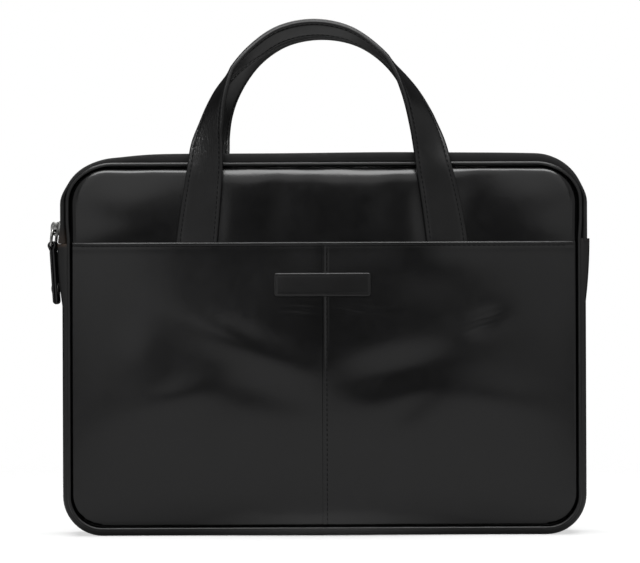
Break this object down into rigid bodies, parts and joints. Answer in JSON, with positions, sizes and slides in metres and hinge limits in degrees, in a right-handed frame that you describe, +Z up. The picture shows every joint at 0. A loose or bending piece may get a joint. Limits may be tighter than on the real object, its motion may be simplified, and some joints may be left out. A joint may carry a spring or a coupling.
{
  "type": "laptop bag",
  "caption": "Slim padded leather laptop bag that stands on its flat bottom, zipped over the top, with a full-width front slip pocket and a pair of arched strap handles.",
  "frame": {"origin": "middle of the flat bottom that the bag stands on", "axes": "+X to the right seen from the pocket side, +Y from the pocket side to the back, +Z up"},
  "size_m": [0.3941, 0.0763, 0.3735],
  "materials": {
    "leather": "black fine-grained leather, polished to a soft sheen",
    "zip_tape": "black woven zip tape and sewing thread, matt",
    "zip_teeth": "black moulded zip teeth, satin",
    "hardware": "bright polished plating"
  },
  "bodies": {
    "bag": {"gusset": "leather", "front_panel": "leather", "back_panel": "leather", "front_piping": "leather", "back_piping": "leather", "zip_strip_front": "leather", "zip_strip_back": "leather", "zip_tape": "zip_tape", "zip_chain": "zip_teeth", "pocket_left": "leather", "pocket_right": "leather", "label": "leather", "handle_front": "leather", "handle_back": "leather", "zip_slider": "hardware"},
    "zip_pull": {"pull_link": "hardware", "pull_tab": "leather", "pull_rivet": "hardware"}
  },
  "joints": [
    {"name": "zip_pull_swing", "type": "hinge", "parent": "bag", "child": "zip_pull", "pos_m": [-0.1968, 0, 0.222], "axis": [0, 1, 0], "range_deg": [-1, 165]}
  ]
}
